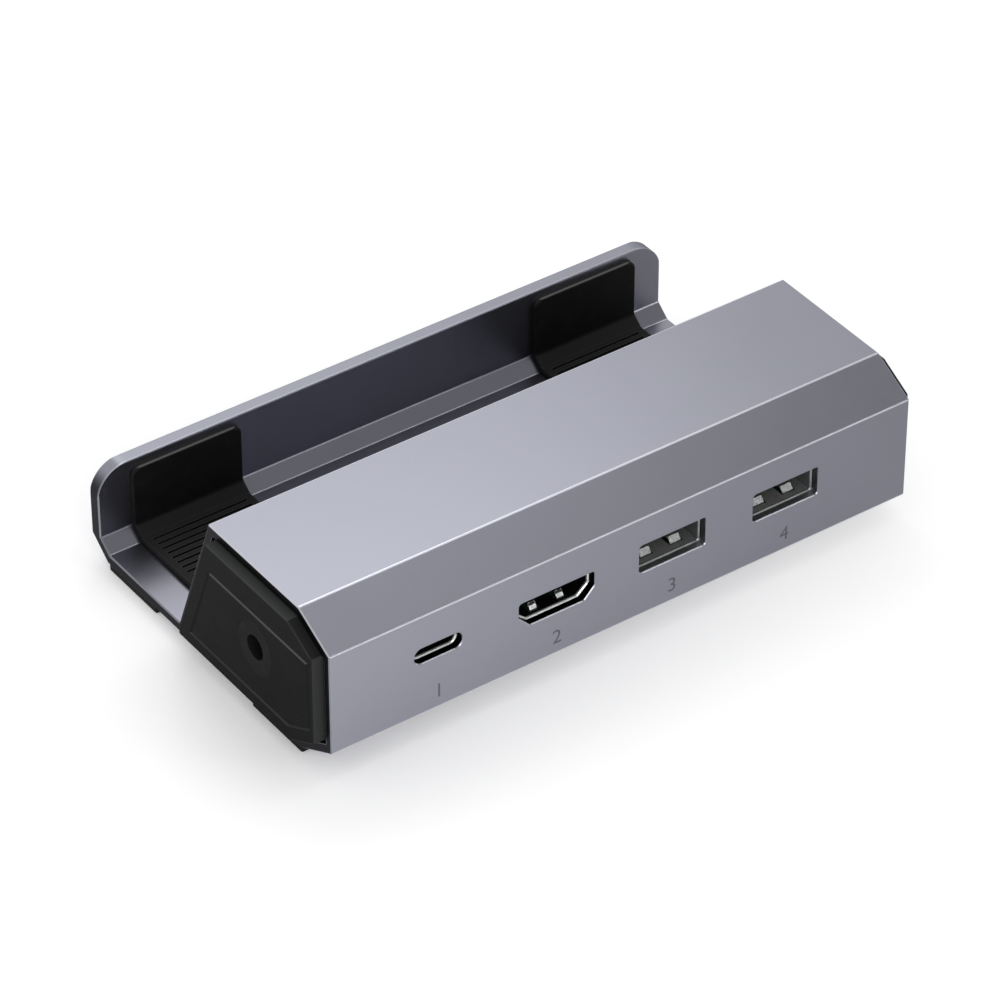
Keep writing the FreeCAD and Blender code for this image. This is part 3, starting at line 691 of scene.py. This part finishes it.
def dress_nodes():
    """Each solid takes the finish of its slot in the record; the power and video sockets take steel with
    painted shade inside and painted highlights at the mouth and noses.
    """
    slots = finishes()
    # Power and video sockets: painted shade inside, painted highlights on the mouth and noses
    shaded_steel = tinned_steel("shaded_tinned_steel", MOUTH_HIGHLIGHT_STEEL, INSIDE_SHADE_STEEL, INSIDE_SHADE_STEEL, STEEL, VIDEO_NOSE_TOP)
    shaded_shells = ("power_socket_shell", "video_socket_shell")
    for row in frame["record"]["subparts"]:
        finish = shaded_steel if row["node"] in shaded_shells else slots[row["material_slot"]]
        for holder in frame["nodes"][row["node"]].material_slots:
            holder.material = finish


def port_numerals():
    """A plain numeral, printed on the port face under each socket."""
    ink = printed_mark()
    sockets = ("power", "video", "left_data", "right_data")
    for number, socket in enumerate(sockets, 1):
        low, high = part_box(socket + "_socket_shell")
        text = bpy.data.curves.new("numeral", "FONT")
        text.body = str(number)
        text.size = MARK_HEIGHT / MARK_SHARE
        text.align_x = "CENTER"
        text.extrude = INK / 2
        outline = bpy.data.objects.new("numeral_outline", text)
        mesh = bpy.data.meshes.new_from_object(outline)
        bpy.data.objects.remove(outline)
        numeral = added(socket + "_numeral", mesh)
        numeral.rotation_euler = (math.pi / 2, 0.0, 0.0)
        numeral.location = ((low.x + high.x) / 2, cad_low.y, MARK_LEVEL)
        mesh.materials.append(ink)
        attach(numeral, "root")


def studio_world():
    """White for the eye, a sky for gloss that dims above the front, and soft light from all round."""
    world = bpy.data.worlds.new("studio")
    bpy.context.scene.world = world
    world.use_nodes = True
    world.node_tree.nodes.clear()
    sky = Nodes(world.node_tree)

    def white_light(strength):
        light = sky.new("Background")
        sky.feed(light.inputs["Color"], PURE_WHITE)
        sky.feed(light.inputs["Strength"], strength)
        return light.outputs["Background"]

    place = sky.new("TexCoord").outputs["Generated"]
    lean = sky.vectors("DOT_PRODUCT", place, DIM_DIRECTION)["Value"]
    dimming = sky.spread(lean, SIDE_SKY, DIM_SKY, *DIM_LEAN, ease="LINEAR")
    rays = sky.new("LightPath").outputs
    light = white_light(AMBIENT)
    for share, strength in ((sky.shiny_rays(rays), dimming), (rays["Is Camera Ray"], WHITE)):
        mix = sky.new("MixShader")
        sky.feed_all(mix.inputs, (share, light, white_light(strength)))
        light = mix.outputs[0]
    sky.feed(sky.new("OutputWorld").inputs["Surface"], light)


def pale_floor():
    """Matt floor, shaded towards the right, with a glow that only the eye and gloss see."""
    look = Look("pale_floor")
    rays = look.new("LightPath").outputs
    lift = look.spread(look.x, PALE_GLOW, SHADED_GLOW, *FLOOR_FADE)
    seen = look.math("MULTIPLY", rays["Is Camera Ray"], lift)
    from_shade = look.vectors("DISTANCE", look.place, SHADE_PLACE)["Value"]
    sheen = look.spread(from_shade, 0.0, GLOSS_GLOW, *SHADE_REACH)
    mirrored = look.math("MULTIPLY", look.shiny_rays(rays), sheen)
    return look.finished(
        Base_Color=look.mixed(look.spread(look.x, 0.0, 1.0, *FLOOR_FADE), FLOOR_PALE, FLOOR_SHADED),
        Roughness=0.9,
        Specular_IOR_Level=0.0,
        Emission_Color=PURE_WHITE,
        Emission_Strength=look.math("MAXIMUM", seen, mirrored))


def studio_floor():
    """Plain floor that keeps the object's shadow."""
    half = FLOOR_SIZE / 2
    mesh = bpy.data.meshes.new("floor")
    corners = [(-half, -half, 0), (half, -half, 0), (half, half, 0), (-half, half, 0)]
    mesh.from_pydata(corners, [], [(0, 1, 2, 3)])
    floor = added("floor", mesh)
    mesh.materials.append(pale_floor())


def studio_lamps():
    """Rectangular lamps of given brightness, turned towards the object."""
    middle = (cad_low + cad_high) / 2
    for name, place, shift, width, height, level in LAMPS:
        lamp = bpy.data.lights.new(name, "AREA")
        lamp.shape = "RECTANGLE"
        lamp.size = width
        lamp.size_y = height
        lamp.energy = level * math.pi * width * height
        holder = added(name, lamp)
        holder.location = place
        aim = middle + Vector(shift) - Vector(place)
        holder.rotation_euler = aim.to_track_quat("-Z", "Y").to_euler()


def camera():
    """Long lens at the photograph's viewing angle."""
    azimuth = math.radians(CAMERA_AZIMUTH)
    elevation = math.radians(CAMERA_ELEVATION)
    level = math.cos(elevation)
    back = Vector((math.sin(azimuth) * level, -math.cos(azimuth) * level, math.sin(elevation)))
    lens = bpy.data.cameras.new("camera")
    lens.lens = CAMERA_LENS
    lens.sensor_width = SENSOR
    lens.clip_start = CAMERA_CLIP
    holder = added("camera", lens)
    holder.location = CAMERA_TARGET + back * CAMERA_DISTANCE
    holder.rotation_euler = back.to_track_quat("Z", "Y").to_euler()
    bpy.context.scene.camera = holder


dress_nodes()
port_numerals()
studio_world()
studio_floor()
studio_lamps()
camera()
bpy.context.scene.view_settings.view_transform = "Standard"
